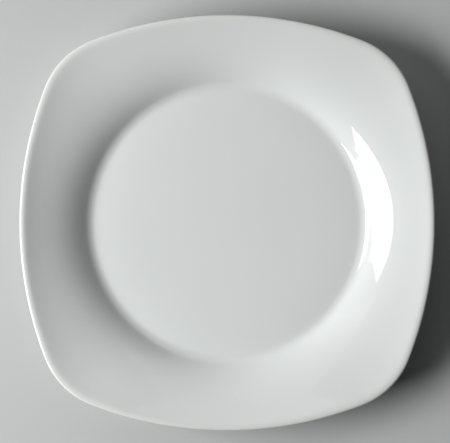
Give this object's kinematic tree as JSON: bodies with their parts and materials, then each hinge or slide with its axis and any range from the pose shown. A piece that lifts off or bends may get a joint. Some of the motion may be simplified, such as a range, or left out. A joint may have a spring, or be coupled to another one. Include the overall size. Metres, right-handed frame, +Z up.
{
  "type": "salad plate",
  "caption": "Soft-square glazed porcelain salad plate with bowed sides, rounded corners, a round, nearly flat well, a wide sloping rim and a bare foot ring to stand on.",
  "frame": {"origin": "on the table, at the middle of the foot ring", "axes": "+Z up out of the well; +X and +Y towards the middles of two neighbouring sides"},
  "size_m": [0.21, 0.21, 0.0233],
  "materials": {
    "porcelain": "matte bare fired clay",
    "glaze": "clear gloss over white porcelain"
  },
  "bodies": {
    "root": {"porcelain_body": "porcelain", "glaze_coat": "glaze", "recess_glaze": "glaze"}
  },
  "joints": []
}
